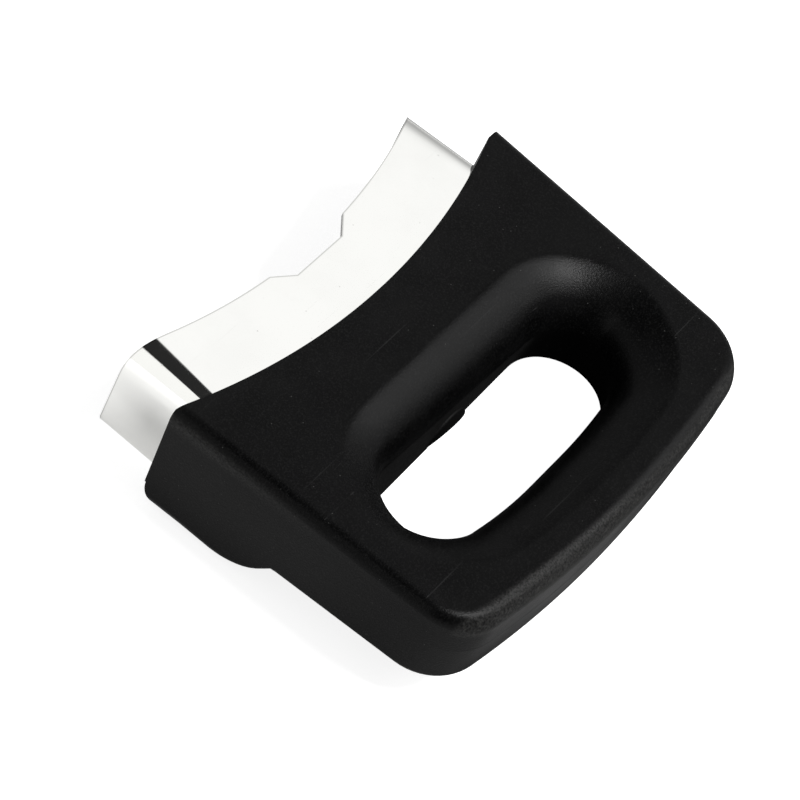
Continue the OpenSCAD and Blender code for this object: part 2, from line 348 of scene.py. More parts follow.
def select_faces(piece, wanted):
    """Selects, in edit mode, the faces that a rule accepts, and no others."""
    bpy.ops.mesh.select_all(action="DESELECT")
    mesh = bmesh.from_edit_mesh(piece.data)
    for f in mesh.faces:
        if wanted(f):
            f.select_set(True)
    bmesh.update_edit_mesh(piece.data)


GUARD_WIDTH, GUARD_HEIGHT, GUARD_SHEET, GUARD_GAP = 72.6, 20.0, 0.8, 0.1
GUARD_BEND, BEND_FULLNESS, GUARD_FOLD, FOLD_FULLNESS = 6.4, 0.61, 2.4, 0.5
TUBE_FROM, TUBE_TO, BEND_TIGHTENS = -20.0, 30.0, 0.17
END_WITHIN, BEND_MARGIN = 1e-6, 0.01


def guard_tube(name, grow, wall, bend_steps):
    """The flame guard's rounded rectangle, grown all round, drawn along Y and given its wall."""
    clear_selection()
    bpy.ops.mesh.primitive_plane_add(size=1, rotation=(math.pi / 2, 0, 0),
                                     location=(0, TUBE_FROM * MM, 0))
    piece = named(name)
    piece.scale = ((GUARD_WIDTH + 2 * grow) * MM, (GUARD_HEIGHT + 2 * grow) * MM, 1)
    bpy.ops.object.transform_apply()
    bpy.ops.object.mode_set(mode="EDIT")
    for upper, radius, fullness in ((True, GUARD_BEND + grow, BEND_FULLNESS),
                                    (False, GUARD_FOLD + grow, FOLD_FULLNESS)):
        select_verts(piece, lambda v: (v.co.z > 0) == upper)
        bpy.ops.mesh.bevel(offset=radius * MM, affect="VERTICES", segments=bend_steps,
                           profile=fullness, clamp_overlap=False)
    bpy.ops.mesh.select_all(action="SELECT")
    bpy.ops.mesh.delete(type="ONLY_FACE")
    bpy.ops.mesh.select_all(action="SELECT")
    draw = {"value": (0, (TUBE_TO - TUBE_FROM) * MM, 0)}
    bpy.ops.mesh.extrude_edges_move(TRANSFORM_OT_translate=draw)
    right, top = (GUARD_WIDTH / 2 + grow) * MM, (GUARD_HEIGHT / 2 + grow) * MM
    bend = (GUARD_BEND + grow + BEND_MARGIN) * MM
    for side in (-1, 1):
        for end_y in (TUBE_FROM, TUBE_TO):
            select_verts(piece, lambda v: abs(v.co.y - end_y * MM) < END_WITHIN
                         and side * v.co.x > right - bend and v.co.z > top - bend)
            tight = 1 - BEND_TIGHTENS * end_y / GUARD_BEND
            bpy.ops.transform.resize(value=(tight, 1, tight),
                                     center_override=(side * right, end_y * MM, top))
    bpy.ops.mesh.select_all(action="SELECT")
    bpy.ops.mesh.normals_make_consistent(inside=False)
    bpy.ops.object.mode_set(mode="OBJECT")
    mesh = piece.data
    out = sum(p.normal.dot(Vector((p.center.x, 0, p.center.z))) for p in mesh.polygons)
    if out < 0:
        mesh.flip_normals()
    skin = piece.modifiers.new("wall", "SOLIDIFY")
    skin.thickness, skin.offset, skin.use_even_offset = wall * MM, -1, True
    make_active(piece)
    bpy.ops.object.modifier_apply(modifier=skin.name)
    return piece


SCREW_TILT = math.radians(18)
BOSS_RADIUS, BOSS_ROUND, BOSS_SEAT = 5.5, 0.7, 0.8
BOSS_Y, BOSS_Z = 32.1, GRIP_BASE + BOSS_RADIUS * math.cos(SCREW_TILT)
COUNTERBORE_RADIUS, COUNTERBORE_FROM, COUNTERBORE_DEEP = 4.7, -11, 6.8
SCREW_BORE_RADIUS, SCREW_BORE_TO = 2.8, 22
boss_at = Matrix.Translation(Vector((0, BOSS_Y, BOSS_Z)) * MM)
screw_axis = boss_at @ Matrix.Rotation(math.pi / 2 - SCREW_TILT, 4, "X")
face_out = screw_axis.to_3x3() @ Vector((0, 0, -1))


def rod(radius, first, last, vertices=96):
    """A cylinder on the screw's axis, between two distances from the face of the boss."""
    clear_selection()
    bpy.ops.mesh.primitive_cylinder_add(vertices=vertices, radius=radius * MM,
                                        depth=(last - first) * MM)
    piece = named("rod")
    piece.matrix_world = screw_axis @ Matrix.Translation((0, 0, (first + last) / 2 * MM))
    bpy.ops.object.transform_apply()
    return piece


grip = ringed_solid("grip_moulding", rings)
boss = rod(BOSS_RADIUS, 0, COUNTERBORE_DEEP + BOSS_SEAT)
bpy.ops.object.mode_set(mode="EDIT")
select_faces(boss, lambda f: f.normal.dot(face_out) > 0.9)
bpy.ops.mesh.region_to_loop()
bpy.ops.mesh.bevel(offset=BOSS_ROUND * MM, segments=5, affect="EDGES")
bpy.ops.object.mode_set(mode="OBJECT")
carve(grip, boss, "UNION")
carve(grip, pot_cylinder(END_FACE_RADIUS))

# Each ear ends in a flat. The near one is set back and leans, and both have a round lower corner.
WELL_ASIDE, WELL_ABOVE, CORNER_PAST = 60, 30, 2
ear_y = math.sqrt(END_FACE_RADIUS ** 2 - EAR_HALF_WIDTH ** 2) - POT_RADIUS
carve(grip, block((-WELL_ASIDE, -WELL_ASIDE, -WELL_ABOVE), (0, ear_y, WELL_ABOVE)))
ear_cut = block((0, -WELL_ASIDE, -WELL_ABOVE), (WELL_ASIDE, ear_y - EAR_SET_BACK, WELL_ABOVE))
bpy.ops.object.mode_set(mode="EDIT")
for level in (-1, 1):
    select_verts(ear_cut, lambda v: v.co.y > 0 and level * v.co.z > 0)
    bpy.ops.transform.translate(value=(0, -level * WELL_ABOVE * EAR_LEAN * MM, 0))
bpy.ops.object.mode_set(mode="OBJECT")
carve(grip, ear_cut)
round_y, round_z = ear_y + EAR_ROUND, GRIP_BASE + EAR_ROUND
for side in (-1, 1):
    near, far = sorted((side * EAR_ROUND_FROM, side * WELL_ASIDE))
    low = near, ear_y - CORNER_PAST, GRIP_BASE - CORNER_PAST
    corner = block(low, (far, round_y, round_z))
    clear_selection()
    bpy.ops.mesh.primitive_cylinder_add(vertices=96, radius=EAR_ROUND * MM, depth=0.2,
                                        rotation=(0, math.pi / 2, 0),
                                        location=(0, round_y * MM, round_z * MM))
    bpy.ops.object.transform_apply()
    carve(corner, named("ear_round"))
    carve(grip, corner)

SOCKET_HALF_WIDTH, SOCKET_HALF_HEIGHT, SOCKET_FROM, SOCKET_FLOOR = 15, 7, -5, 20.8
groove = guard_tube("groove", GUARD_GAP, GUARD_SHEET + 2 * GUARD_GAP, 16)
carve(groove, pot_cylinder(GROOVE_END_RADIUS), "INTERSECT")
carve(grip, groove)
carve(grip, block((-SOCKET_HALF_WIDTH, SOCKET_FROM, -SOCKET_HALF_HEIGHT),
                  (SOCKET_HALF_WIDTH, SOCKET_FLOOR, SOCKET_HALF_HEIGHT)))
carve(grip, rod(COUNTERBORE_RADIUS, COUNTERBORE_FROM, COUNTERBORE_DEEP))
carve(grip, rod(SCREW_BORE_RADIUS, 0, SCREW_BORE_TO))


def finish_surface(piece, angle=35):
    """Smooth shading that keeps the true edges and leaves the flats flat."""
    make_active(piece)
    bpy.ops.object.shade_smooth_by_angle(angle=math.radians(angle))
    even = piece.modifiers.new("even", "WEIGHTED_NORMAL")
    even.keep_sharp, even.weight = True, 80
    bpy.ops.object.modifier_apply(modifier=even.name)


finish_surface(grip)


class Nodes:
    """A node tree with short ways to add a node, set its values and join sockets."""

    def __init__(self, tree):
        self.tree = tree
        self.tree.nodes.clear()

    def add(self, kind, settings=None, **inputs):
        made = self.tree.nodes.new("ShaderNode" + kind)
        for key, value in (settings or {}).items():
            setattr(made, key, value)
        for key, value in inputs.items():
            self.put(value, made.inputs[key.replace("_", " ")])
        return made

    def put(self, value, socket):
        if isinstance(value, bpy.types.NodeSocket):
            self.tree.links.new(value, socket)
        else:
            socket.default_value = value

    def math(self, operation, *values):
        made = self.tree.nodes.new("ShaderNodeMath")
        made.operation = operation
        for value, socket in zip(values, made.inputs):
            self.put(value, socket)
        return made.outputs[0]

    def fold(self, operation, first, *others):
        """One operation over any number of values, in turn."""
        for other in others:
            first = self.math(operation, first, other)
        return first

    def all_of(self, *masks):
        return self.fold("MULTIPLY", *masks)

    def sum_of(self, *values):
        return self.fold("ADD", *values)

    def blend(self, factor, first, last, kind="RGBA"):
        made = self.tree.nodes.new("ShaderNodeMix")
        made.data_type = kind
        inputs = [s for s in made.inputs if s.enabled]
        for value, socket in zip((factor, first, last), inputs):
            self.put(value, socket)
        return [s for s in made.outputs if s.enabled][0]

    def ramp(self, value, low, high, out_low=0.0, out_high=1.0):
        made = self.add("MapRange", {"interpolation_type": "SMOOTHSTEP"})
        for v, socket in zip((value, low, high, out_low, out_high), made.inputs):
            self.put(v, socket)
        return made.outputs[0]

    def fade(self, value, low, high):
        return self.ramp(value, low, high, 1.0, 0.0)

    def band(self, value, rise_from, rise_to, fall_from, fall_to):
        """A mask that rises, stays on and falls again."""
        rise = self.ramp(value, rise_from, rise_to)
        return self.all_of(rise, self.fade(value, fall_from, fall_to))

    def noise(self, place, scale, detail, roughness=0.5):
        made = self.add("TexNoise", Vector=place, Scale=scale, Detail=detail, Roughness=roughness)
        return made.outputs[0]

    def in_mm(self, place):
        """The three parts of a place, in millimetres."""
        parts = self.add("SeparateXYZ", Vector=place).outputs
        return [self.math("DIVIDE", part, MM) for part in parts]

    def distance(self, x, y):
        squares = self.math("POWER", x, 2.0), self.math("POWER", y, 2.0)
        return self.math("SQRT", self.sum_of(*squares))

    def end(self, shader, kind="OutputMaterial"):
        self.put(shader.outputs[0], self.add(kind).inputs["Surface"])


def group_tree(name, inputs, outputs):
    tree = bpy.data.node_groups.new(name, "ShaderNodeTree")
    for label, value in inputs.items():
        socket = tree.interface.new_socket(label, in_out="INPUT", socket_type="NodeSocketFloat")
        socket.default_value = value
    for label, kind in outputs.items():
        tree.interface.new_socket(label, in_out="OUTPUT", socket_type=kind)
    n = Nodes(tree)
    return tree, n, tree.nodes.new("NodeGroupInput"), tree.nodes.new("NodeGroupOutput")


# Handling marks, shared by the moulding and the metals: thin straight scratches that lie in a few
# directions and taper off, and small specks of dust or chipped filler. Each lay of scratches has
# its turn, its stretch along and across, and its own start.
SCRATCH_LAYS = ((0.06, 0.45, 130.0, 0.13), (-0.1, 1.0, 70.0, 0.57),
                (0.5, 1.3, 50.0, 0.31), (1.25, 1.6, 45.0, 0.91))
SCRATCH_EDGE, SPECK_EDGE = (0.08, 0.34), (0.05, 0.16)
marks_tree, n, given, made = group_tree(
    "handling_marks",
    {"Scratch Scale": 60.0, "Scratch Amount": 0.02, "Speck Scale": 900.0, "Speck Amount": 0.05},
    {"Scratches": "NodeSocketFloat", "Specks": "NodeSocketFloat"},
)
place = n.add("TexCoord").outputs["Object"]


def picked(n, cell, edge, amount):
    """The middles of some of a pattern's cells, as many as the amount says."""
    pick = n.add("SeparateColor", Color=cell.outputs["Color"]).outputs[0]
    return n.all_of(n.fade(cell.outputs["Distance"], *edge), n.math("LESS_THAN", pick, amount))


scratches = []
for turn, length, thin, seed in SCRATCH_LAYS:
    lay = n.add("Mapping", Vector=place)
    lay.inputs["Rotation"].default_value = (0.0, 0.0, turn)
    lay.inputs["Scale"].default_value = (length, length * thin, length * thin)
    lay.inputs["Location"].default_value = (seed, seed * 2, seed * 3)
    cell = n.add("TexVoronoi", Vector=lay.outputs[0], Scale=given.outputs["Scratch Scale"])
    scratches.append(picked(n, cell, SCRATCH_EDGE, given.outputs["Scratch Amount"]))
n.put(n.fold("MAXIMUM", *scratches), made.inputs["Scratches"])
cell = n.add("TexVoronoi", Vector=place, Scale=given.outputs["Speck Scale"])
n.put(picked(n, cell, SPECK_EDGE, given.outputs["Speck Amount"]), made.inputs["Specks"])


def marks_on(n, **values):
    """Places the handling marks in a material and gives its scratches and specks."""
    marks = n.add("Group", {"node_tree": marks_tree})
    for label, value in values.items():
        marks.inputs[label.replace("_", " ").title()].default_value = value
    return marks.outputs["Scratches"], marks.outputs["Specks"]


def new_material(name):
    material = bpy.data.materials.new(name)
    material.use_nodes = True
    n = Nodes(material.node_tree)
    return material, n, n.add("TexCoord").outputs["Object"]


def grey(level):
    return (level, level, level, 1)


BLACK_LOW, BLACK_HIGH = (0.0008, 0.0008, 0.0009, 1), (0.002, 0.002, 0.0021, 1)
GRAIN_TONE, DUST_TONE, SCRATCH_TONE = grey(0.0068), grey(0.012), grey(0.024)
RUB_AND_SHEEN_TONE, SPECK_TONE = (0.045, 0.0445, 0.043, 1), (0.1, 0.1, 0.096, 1)
HOLE_SHADE_TONE, WALL_SHEEN_TONE = grey(0.0008), grey(0.01)
CLOUD_SPAN, GRAIN_SPAN, RUB_SHEEN_SPAN = (0.3, 0.7), (0.46, 0.72), (0.3, 0.8)
PHENOLIC_SPECULAR, GRAIN_BUMP, BUMP_DEPTH = 0.085, 0.35, 0.0001

phenolic, n, place = new_material("black_phenolic")
scratches, specks = marks_on(n, scratch_scale=34.0, scratch_amount=0.012,
                             speck_scale=1300.0, speck_amount=0.05)
cloud = n.noise(place, 130.0, 4.0, 0.6)
grain = n.noise(place, 3300.0, 2.0, 0.7)
rub_sheen_noise = n.noise(place, 2600.0, 4.0, 0.7)
x, y, z = n.in_mm(place)
wide = n.math("ABSOLUTE", x)

# Rubbed upper edges, also lightened as a painted highlight along their rounding: at the sides near
# the pot, and along the front, where the band starts further over the edge towards the far end.
SIDE_RUB_SHEEN_Z, SIDE_RUB_SHEEN_WIDE, SIDE_RUB_SHEEN_Y = (8.0, 10.0, 10.8, 11.8), (38.0, 39.5), (10.0, 38.0)
FRONT_RUB_SHEEN_REACH, FRONT_RUB_SHEEN_Z = (BOW_RADIUS - 3.4, BOW_RADIUS - 2.4), (8.4, 9.4)
FAR_RUB_SHEEN_SHIFT, FAR_RUB_SHEEN_FADE = (-24, 28, -1.7, 0.0), (-24, 8, 0.9, 1.0)
side_rub_and_sheen = n.all_of(n.band(z, *SIDE_RUB_SHEEN_Z), n.ramp(wide, *SIDE_RUB_SHEEN_WIDE),
                    n.ramp(y, *SIDE_RUB_SHEEN_Y, 1.0, 0.1))
bow_reach = n.distance(x, n.math("SUBTRACT", y, GRIP_REACH - BOW_RADIUS))
bow_reach = n.sum_of(bow_reach, n.ramp(x, *FAR_RUB_SHEEN_SHIFT))
front_rub_and_sheen = n.all_of(n.ramp(bow_reach, *FRONT_RUB_SHEEN_REACH), n.ramp(z, *FRONT_RUB_SHEEN_Z),
                     n.ramp(x, *FAR_RUB_SHEEN_FADE))
rub_and_sheen = n.all_of(n.math("MAXIMUM", side_rub_and_sheen, front_rub_and_sheen), n.ramp(rub_sheen_noise, *RUB_SHEEN_SPAN))

# Dust near the pot; painted shade that darkens the inside of the finger hole, which is also made
# duller; a painted sheen on the hole's wall over the screw; and the dull top of the boss.
DUST_REACH = 118, 134
HOLE_SHADE_Z, HOLE_SHADE_WIDE, HOLE_SHADE_Y = (2.5, 6.0), (28.0, 29.5), (24.0, 26.0, 52.0, 54.0)
WALL_SHEEN_Z, WALL_SHEEN_Y, WALL_SHEEN_WIDE = (-4.2, -3.8, 3.4, 4.0), (32.9, 33.3), (19.0, 22.0)
WALL_SHEEN_OFF_BOSS = 5.6, 5.9, 0.6, 0.0
BOSS_WIDE, BOSS_TOP_Z, BOSS_TOP_Y = (5.7, 6.0), (1.0, 1.6), (32.4, 32.7, 35.0, 36.0)
from_pot_axis = n.distance(x, n.math("ADD", y, POT_RADIUS))
dust = n.all_of(n.fade(from_pot_axis, *DUST_REACH), n.ramp(cloud, *CLOUD_SPAN, 0.05, 0.25))
inner = n.all_of(n.fade(z, *HOLE_SHADE_Z), n.fade(wide, *HOLE_SHADE_WIDE), n.band(y, *HOLE_SHADE_Y))
# Painted sheen: the wall under the throat is lightened as if lit from the table below.
off_boss = n.sum_of(y, n.ramp(wide, *WALL_SHEEN_OFF_BOSS))
wall_sheen = n.all_of(n.band(z, *WALL_SHEEN_Z), n.fade(off_boss, *WALL_SHEEN_Y), n.fade(wide, *WALL_SHEEN_WIDE))
boss_top = n.all_of(n.fade(wide, *BOSS_WIDE), n.fade(z, *BOSS_TOP_Z), n.band(y, *BOSS_TOP_Y))

tone = n.blend(n.ramp(cloud, *CLOUD_SPAN), BLACK_LOW, BLACK_HIGH)
for mask, colour in ((n.ramp(grain, *GRAIN_SPAN), GRAIN_TONE), (dust, DUST_TONE),
                     (n.all_of(scratches, 0.45), SCRATCH_TONE), (n.all_of(rub_and_sheen, 0.8), RUB_AND_SHEEN_TONE),
                     (n.all_of(specks, 0.5), SPECK_TONE), (n.all_of(inner, 0.7), HOLE_SHADE_TONE),
                     (n.all_of(wall_sheen, n.ramp(grain, 0.3, 0.7, 0.5, 1.0)), WALL_SHEEN_TONE)):
    tone = n.blend(mask, tone, colour)
rough = n.sum_of(n.ramp(cloud, *CLOUD_SPAN, 0.3, 0.35), n.all_of(rub_and_sheen, 0.1),
                 n.all_of(inner, 0.25), n.all_of(boss_top, 0.4))
height = n.math("SUBTRACT", grain, n.all_of(scratches, 0.5))
bump = n.add("Bump", Strength=GRAIN_BUMP, Distance=BUMP_DEPTH, Height=height)
shader = n.add("BsdfPrincipled", Base_Color=tone, Roughness=rough, Normal=bump.outputs[0],
               Specular_IOR_Level=PHENOLIC_SPECULAR)
n.end(shader)


def dress(piece, material, body, node):
    piece.data.materials.clear()
    piece.data.materials.append(material)
    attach(piece, body)
    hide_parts(node)


dress(grip, phenolic, "handle", "grip")

# FLAME GUARD
# A collar folded from bright stainless sheet. It fills the space between the grip and the pot, its
# pot edge is cut to the round of the wall with a notch over the bracket, and it sits in the groove.

NOTCH_MOUTH, NOTCH_FLOOR, NOTCH_DEEP = 17.8, 11.5, 2.2
NOTCH_FROM_Y, NOTCH_LOW, NOTCH_HIGH = -6, 2, 20
guard = guard_tube("flame_guard_collar", 0.0, GUARD_SHEET, 24)
carve(guard, pot_cylinder(GROOVE_END_RADIUS - GUARD_GAP), "INTERSECT")
carve(guard, pot_cylinder(POT_RADIUS))
notch = block((-NOTCH_FLOOR / 2, NOTCH_FROM_Y, NOTCH_LOW), (NOTCH_FLOOR / 2, NOTCH_DEEP, NOTCH_HIGH))
bpy.ops.object.mode_set(mode="EDIT")
select_faces(notch, lambda f: f.normal.y < -0.9)
flank = (NOTCH_MOUTH - NOTCH_FLOOR) / 2 / NOTCH_DEEP
widen = 1 + 2 * flank * (NOTCH_DEEP - NOTCH_FROM_Y) / NOTCH_FLOOR
bpy.ops.transform.resize(value=(widen, 1, 1))
bpy.ops.object.mode_set(mode="OBJECT")
carve(guard, notch)
finish_surface(guard, 25)

SMEAR_LIGHT, SMEAR_DARK = (0.965, 0.965, 0.94, 1), (0.94, 0.94, 0.915, 1)
STEEL_SPECK, CUT_EDGE_TONE = (0.4, 0.39, 0.37, 1), (0.62, 0.62, 0.6, 1)
CUT_EDGE_WIDTH, OUT_OF_REACH = (0.08, 0.3), 1000.0
STEEL_BUMP = 0.04
stainless, n, place = new_material("polished_stainless")
scratches, specks = marks_on(n, scratch_scale=50.0, scratch_amount=0.02,
                             speck_scale=900.0, speck_amount=0.05)
smear = n.noise(place, 90.0, 5.0, 0.6)
x, y, z = n.in_mm(place)
tone = n.blend(n.ramp(smear, 0.35, 0.7), SMEAR_LIGHT, SMEAR_DARK)
tone = n.blend(n.all_of(specks, 0.45), tone, STEEL_SPECK)

# The colour is darker in a thin band along the sheet's cut edge: along the pot's round, and round
# the notch in the upper side.
from_pot_edge = n.math("SUBTRACT", n.distance(x, n.math("ADD", y, POT_RADIUS)), POT_RADIUS)
from_floor = n.math("SUBTRACT", y, NOTCH_DEEP)
from_flank = n.sum_of(n.math("SUBTRACT", n.math("ABSOLUTE", x), NOTCH_FLOOR / 2),
                      n.all_of(from_floor, flank))
from_flank = n.math("DIVIDE", from_flank, math.hypot(1, flank))
from_notch = n.sum_of(n.math("MAXIMUM", from_floor, from_flank),
                      n.all_of(n.math("LESS_THAN", z, 0.0), OUT_OF_REACH))
from_cut = n.math("MINIMUM", from_pot_edge, from_notch)
tone = n.blend(n.fade(from_cut, *CUT_EDGE_WIDTH), tone, CUT_EDGE_TONE)
rough = n.sum_of(n.ramp(smear, 0.3, 0.75, 0.05, 0.1), n.all_of(scratches, 0.1))
height = n.math("SUBTRACT", smear, scratches)
bump = n.add("Bump", Strength=STEEL_BUMP, Distance=BUMP_DEPTH, Height=height)
shader = n.add("BsdfPrincipled", Base_Color=tone, Roughness=rough, Metallic=1.0,
               Normal=bump.outputs[0])
n.end(shader)
dress(guard, stainless, "handle", "flame_guard")

# PLAIN WASHER
# A flat ring punched from plated steel. It lies on the floor of the counterbore, so that the
# spring washer's ends don't dig into the moulding.

WASHER_BORE = 2.65
PLAIN_FROM, PLAIN_THICK, PLAIN_OUT, PLAIN_SOFT = 5.8, 1.0, 4.5, 0.1


def turned(name, profile, vertices=96, closed=True):
    """A turned piece on the screw's axis: a circle drawn out and resized along a profile of
    radius and distance pairs. A closed profile comes back to its first pair."""
    clear_selection()
    radius, level = profile[0]
    bpy.ops.mesh.primitive_circle_add(vertices=vertices, radius=radius * MM,
                                      location=(0, 0, level * MM))
    piece = named(name)
    bpy.ops.object.transform_apply()
    bpy.ops.object.mode_set(mode="EDIT")
    bpy.ops.mesh.select_all(action="SELECT")
    if not closed:
        bpy.ops.mesh.edge_face_add()
    draw_out = bpy.ops.mesh.extrude_edges_move if closed else bpy.ops.mesh.extrude_region_move
    for wide, far in profile[1:] + ([profile[0]] if closed else []):
        draw_out(TRANSFORM_OT_translate={"value": (0, 0, (far - level) * MM)})
        bpy.ops.transform.resize(value=(wide / radius, wide / radius, 1),
                                 center_override=(0, 0, far * MM))
        radius, level = wide, far
    bpy.ops.mesh.select_all(action="SELECT")
    bpy.ops.mesh.remove_doubles(threshold=MERGE_WITHIN)
    bpy.ops.mesh.normals_make_consistent(inside=False)
    bpy.ops.object.mode_set(mode="OBJECT")
    piece.matrix_world = screw_axis
    make_active(piece)
    bpy.ops.object.transform_apply()
    return piece


def ring_profile(inner, outer, first, last, soft):
    return [(inner + soft, first), (outer - soft, first), (outer, first + soft),
            (outer, last - soft), (outer - soft, last), (inner + soft, last),
            (inner, last - soft), (inner, first + soft)]


PLATING_LOW, PLATING_HIGH = (0.62, 0.63, 0.64, 1), (0.72, 0.72, 0.7, 1)
PLATING_SPECK = (0.3, 0.29, 0.27, 1)
PLATING_BUMP, PLATING_BUMP_DEPTH = 0.15, 0.00005
plated, n, place = new_material("plated_steel")
scratches, specks = marks_on(n, scratch_scale=160.0, scratch_amount=0.05,
                             speck_scale=1200.0, speck_amount=0.06)
cloud = n.noise(place, 350.0, 4.0)
tone = n.blend(n.ramp(cloud, *CLOUD_SPAN), PLATING_LOW, PLATING_HIGH)
tone = n.blend(n.all_of(specks, 0.6), tone, PLATING_SPECK)
rough = n.sum_of(n.ramp(cloud, *CLOUD_SPAN, 0.26, 0.38), n.all_of(scratches, 0.12))
height = n.math("SUBTRACT", cloud, scratches)
bump = n.add("Bump", Strength=PLATING_BUMP, Distance=PLATING_BUMP_DEPTH, Height=height)
shader = n.add("BsdfPrincipled", Base_Color=tone, Roughness=rough, Metallic=1.0,
               Normal=bump.outputs[0])
n.end(shader)

plain = turned("plain_washer_punched", ring_profile(
    WASHER_BORE, PLAIN_OUT, PLAIN_FROM, PLAIN_FROM + PLAIN_THICK, PLAIN_SOFT))
finish_surface(plain)
dress(plain, plated, "handle", "plain_washer")

# SPRING WASHER
# A ring coiled from plated steel wire of square section and cut through on a slant. It sits on the
# plain washer under the screw's head and keeps the screw tight while the pot heats and cools.

SPRING_FROM, SPRING_THICK, SPRING_OUT, SPRING_SOFT = 4.2, 1.6, 4.25, 0.12
SPLIT_SLANT, SPLIT_SIZE = math.radians(25), (9, 1, 12)
spring = turned("spring_washer_split", ring_profile(
    WASHER_BORE, SPRING_OUT, SPRING_FROM, SPRING_FROM + SPRING_THICK, SPRING_SOFT))
clear_selection()
bpy.ops.mesh.primitive_cube_add(size=1)
split_cut = named("split_cut")
middle = Matrix.Translation((0, 0, (SPRING_FROM + SPRING_THICK / 2) * MM))
aside = Matrix.Translation((SPLIT_SIZE[0] / 2 * MM, 0, 0))
split_cut.matrix_world = (screw_axis @ middle @ Matrix.Rotation(SPLIT_SLANT, 4, "X") @ aside
                          @ Matrix.Diagonal((*(s * MM for s in SPLIT_SIZE), 1)))
bpy.ops.object.transform_apply()
carve(spring, split_cut)
finish_surface(spring)
dress(spring, plated, "handle", "spring_washer")

# FIXING SCREW
# A pan-head machine screw of plated steel with a cross recess. It goes up through the boss and
# draws the grip and the flame guard onto the bracket inside the collar.

HEAD_FROM, HEAD_TALL, HEAD_OUT, HEAD_ROUND, HEAD_FLAT, HEAD_SOFT = 0.8, 3.3, 4.25, 1.1, 2.6, 0.15
SCREW_LONG, SHANK_OUT, SHANK_FILLET = 20.0, 2.2, 0.25
THREAD_LONG, THREAD_OUT, THREAD_ROOT, THREAD_PITCH = 10.0, 2.5, 2.05, 0.8
THREAD_RUN_IN, TIP_SOFT = 0.2, 0.3
under_head = HEAD_FROM + HEAD_TALL
tip = under_head + SCREW_LONG
thread_top = tip - THREAD_LONG
dome = [(HEAD_OUT - HEAD_ROUND * (1 - math.sin(a)), HEAD_FROM + HEAD_ROUND * (1 - math.cos(a)))
        for a in quarter(6)]
profile = [(HEAD_FLAT, HEAD_FROM)] + dome + [
    (HEAD_OUT, under_head - HEAD_SOFT), (HEAD_OUT - HEAD_SOFT, under_head),
    (SHANK_OUT + SHANK_FILLET, under_head), (SHANK_OUT, under_head + SHANK_FILLET),
    (SHANK_OUT, thread_top), (THREAD_ROOT, thread_top + THREAD_RUN_IN),
    (THREAD_ROOT, tip - TIP_SOFT), (THREAD_ROOT - TIP_SOFT, tip)]
screw = turned("fixing_screw_pan_head", profile, closed=False)

WING_SIZE, WING_SINK, WING_TAPER = (4.6, 1.2, 4.2), 0.1, 0.6
for quarter_turn in (0, math.pi / 2):
    clear_selection()
    bpy.ops.mesh.primitive_cube_add(size=1)
    wing = named("wing")
    at_head = Matrix.Translation((0, 0, (HEAD_FROM + WING_SINK) * MM))
    wing.matrix_world = (screw_axis @ Matrix.Rotation(quarter_turn, 4, "Z") @ at_head
                         @ Matrix.Diagonal((*(s * MM for s in WING_SIZE), 1)))
    bpy.ops.object.transform_apply()
    bpy.ops.object.mode_set(mode="EDIT")
    select_faces(wing, lambda f: f.normal.dot(face_out) < -0.9)
    bpy.ops.transform.resize(value=(WING_TAPER, WING_TAPER, WING_TAPER))
    bpy.ops.object.mode_set(mode="OBJECT")
    carve(screw, wing)

# The thread is a ridge of three corners, coiled along the plain root.
RIDGE_SINK, RIDGE_CREST, RIDGE_FOOT = 0.1, 0.46, 0.92
RIDGE_START, RIDGE_SHORT, COIL_STEPS = 0.3, 1.6, 48
clear_selection()
bpy.ops.mesh.primitive_circle_add(vertices=3, radius=THREAD_PITCH / 2 * MM)
thread = named("thread_ridge")
bpy.ops.object.mode_set(mode="EDIT")
mesh = bmesh.from_edit_mesh(thread.data)
thread_from = thread_top + RIDGE_START
corners = [(THREAD_ROOT - RIDGE_SINK, 0.0), (THREAD_OUT, THREAD_PITCH * RIDGE_CREST),
           (THREAD_ROOT - RIDGE_SINK, THREAD_PITCH * RIDGE_FOOT)]
for v, (radius, up) in zip(mesh.verts, corners):
    v.co = Vector((radius * MM, 0, (thread_from + up) * MM))
bmesh.update_edit_mesh(thread.data)
bpy.ops.object.mode_set(mode="OBJECT")
coil = thread.modifiers.new("coil", "SCREW")
coil.axis, coil.angle, coil.screw_offset = "Z", 2 * math.pi, THREAD_PITCH * MM
coil.iterations = int((THREAD_LONG - RIDGE_SHORT) / THREAD_PITCH)
coil.steps = coil.render_steps = COIL_STEPS
coil.use_merge_vertices, coil.merge_threshold = True, MERGE_WITHIN
make_active(thread)
bpy.ops.object.modifier_apply(modifier=coil.name)
bpy.ops.object.mode_set(mode="EDIT")
bpy.ops.mesh.select_all(action="DESELECT")
bpy.ops.mesh.select_non_manifold()
bpy.ops.mesh.edge_face_add()
bpy.ops.mesh.select_all(action="SELECT")
bpy.ops.mesh.normals_make_consistent(inside=False)
bpy.ops.object.mode_set(mode="OBJECT")
thread.matrix_world = screw_axis
make_active(thread)
bpy.ops.object.transform_apply()
make_active(screw)
thread.select_set(True)
bpy.ops.object.join()
finish_surface(screw, 30)
dress(screw, plated, "screw", "fixing_screw")

# FLOOR, LIGHT AND CAMERA
# A white table and room under two soft lamps. To the camera both read as plain white. What the
# black moulding and the steel mirror of them is shaded as in a small photographer's tent.

TABLE_SIZE, TABLE_DROP = 4, 0.15
clear_selection()
bpy.ops.mesh.primitive_plane_add(size=TABLE_SIZE, location=(0, 0, (GRIP_BASE - TABLE_DROP) * MM))
table = named("table_top")

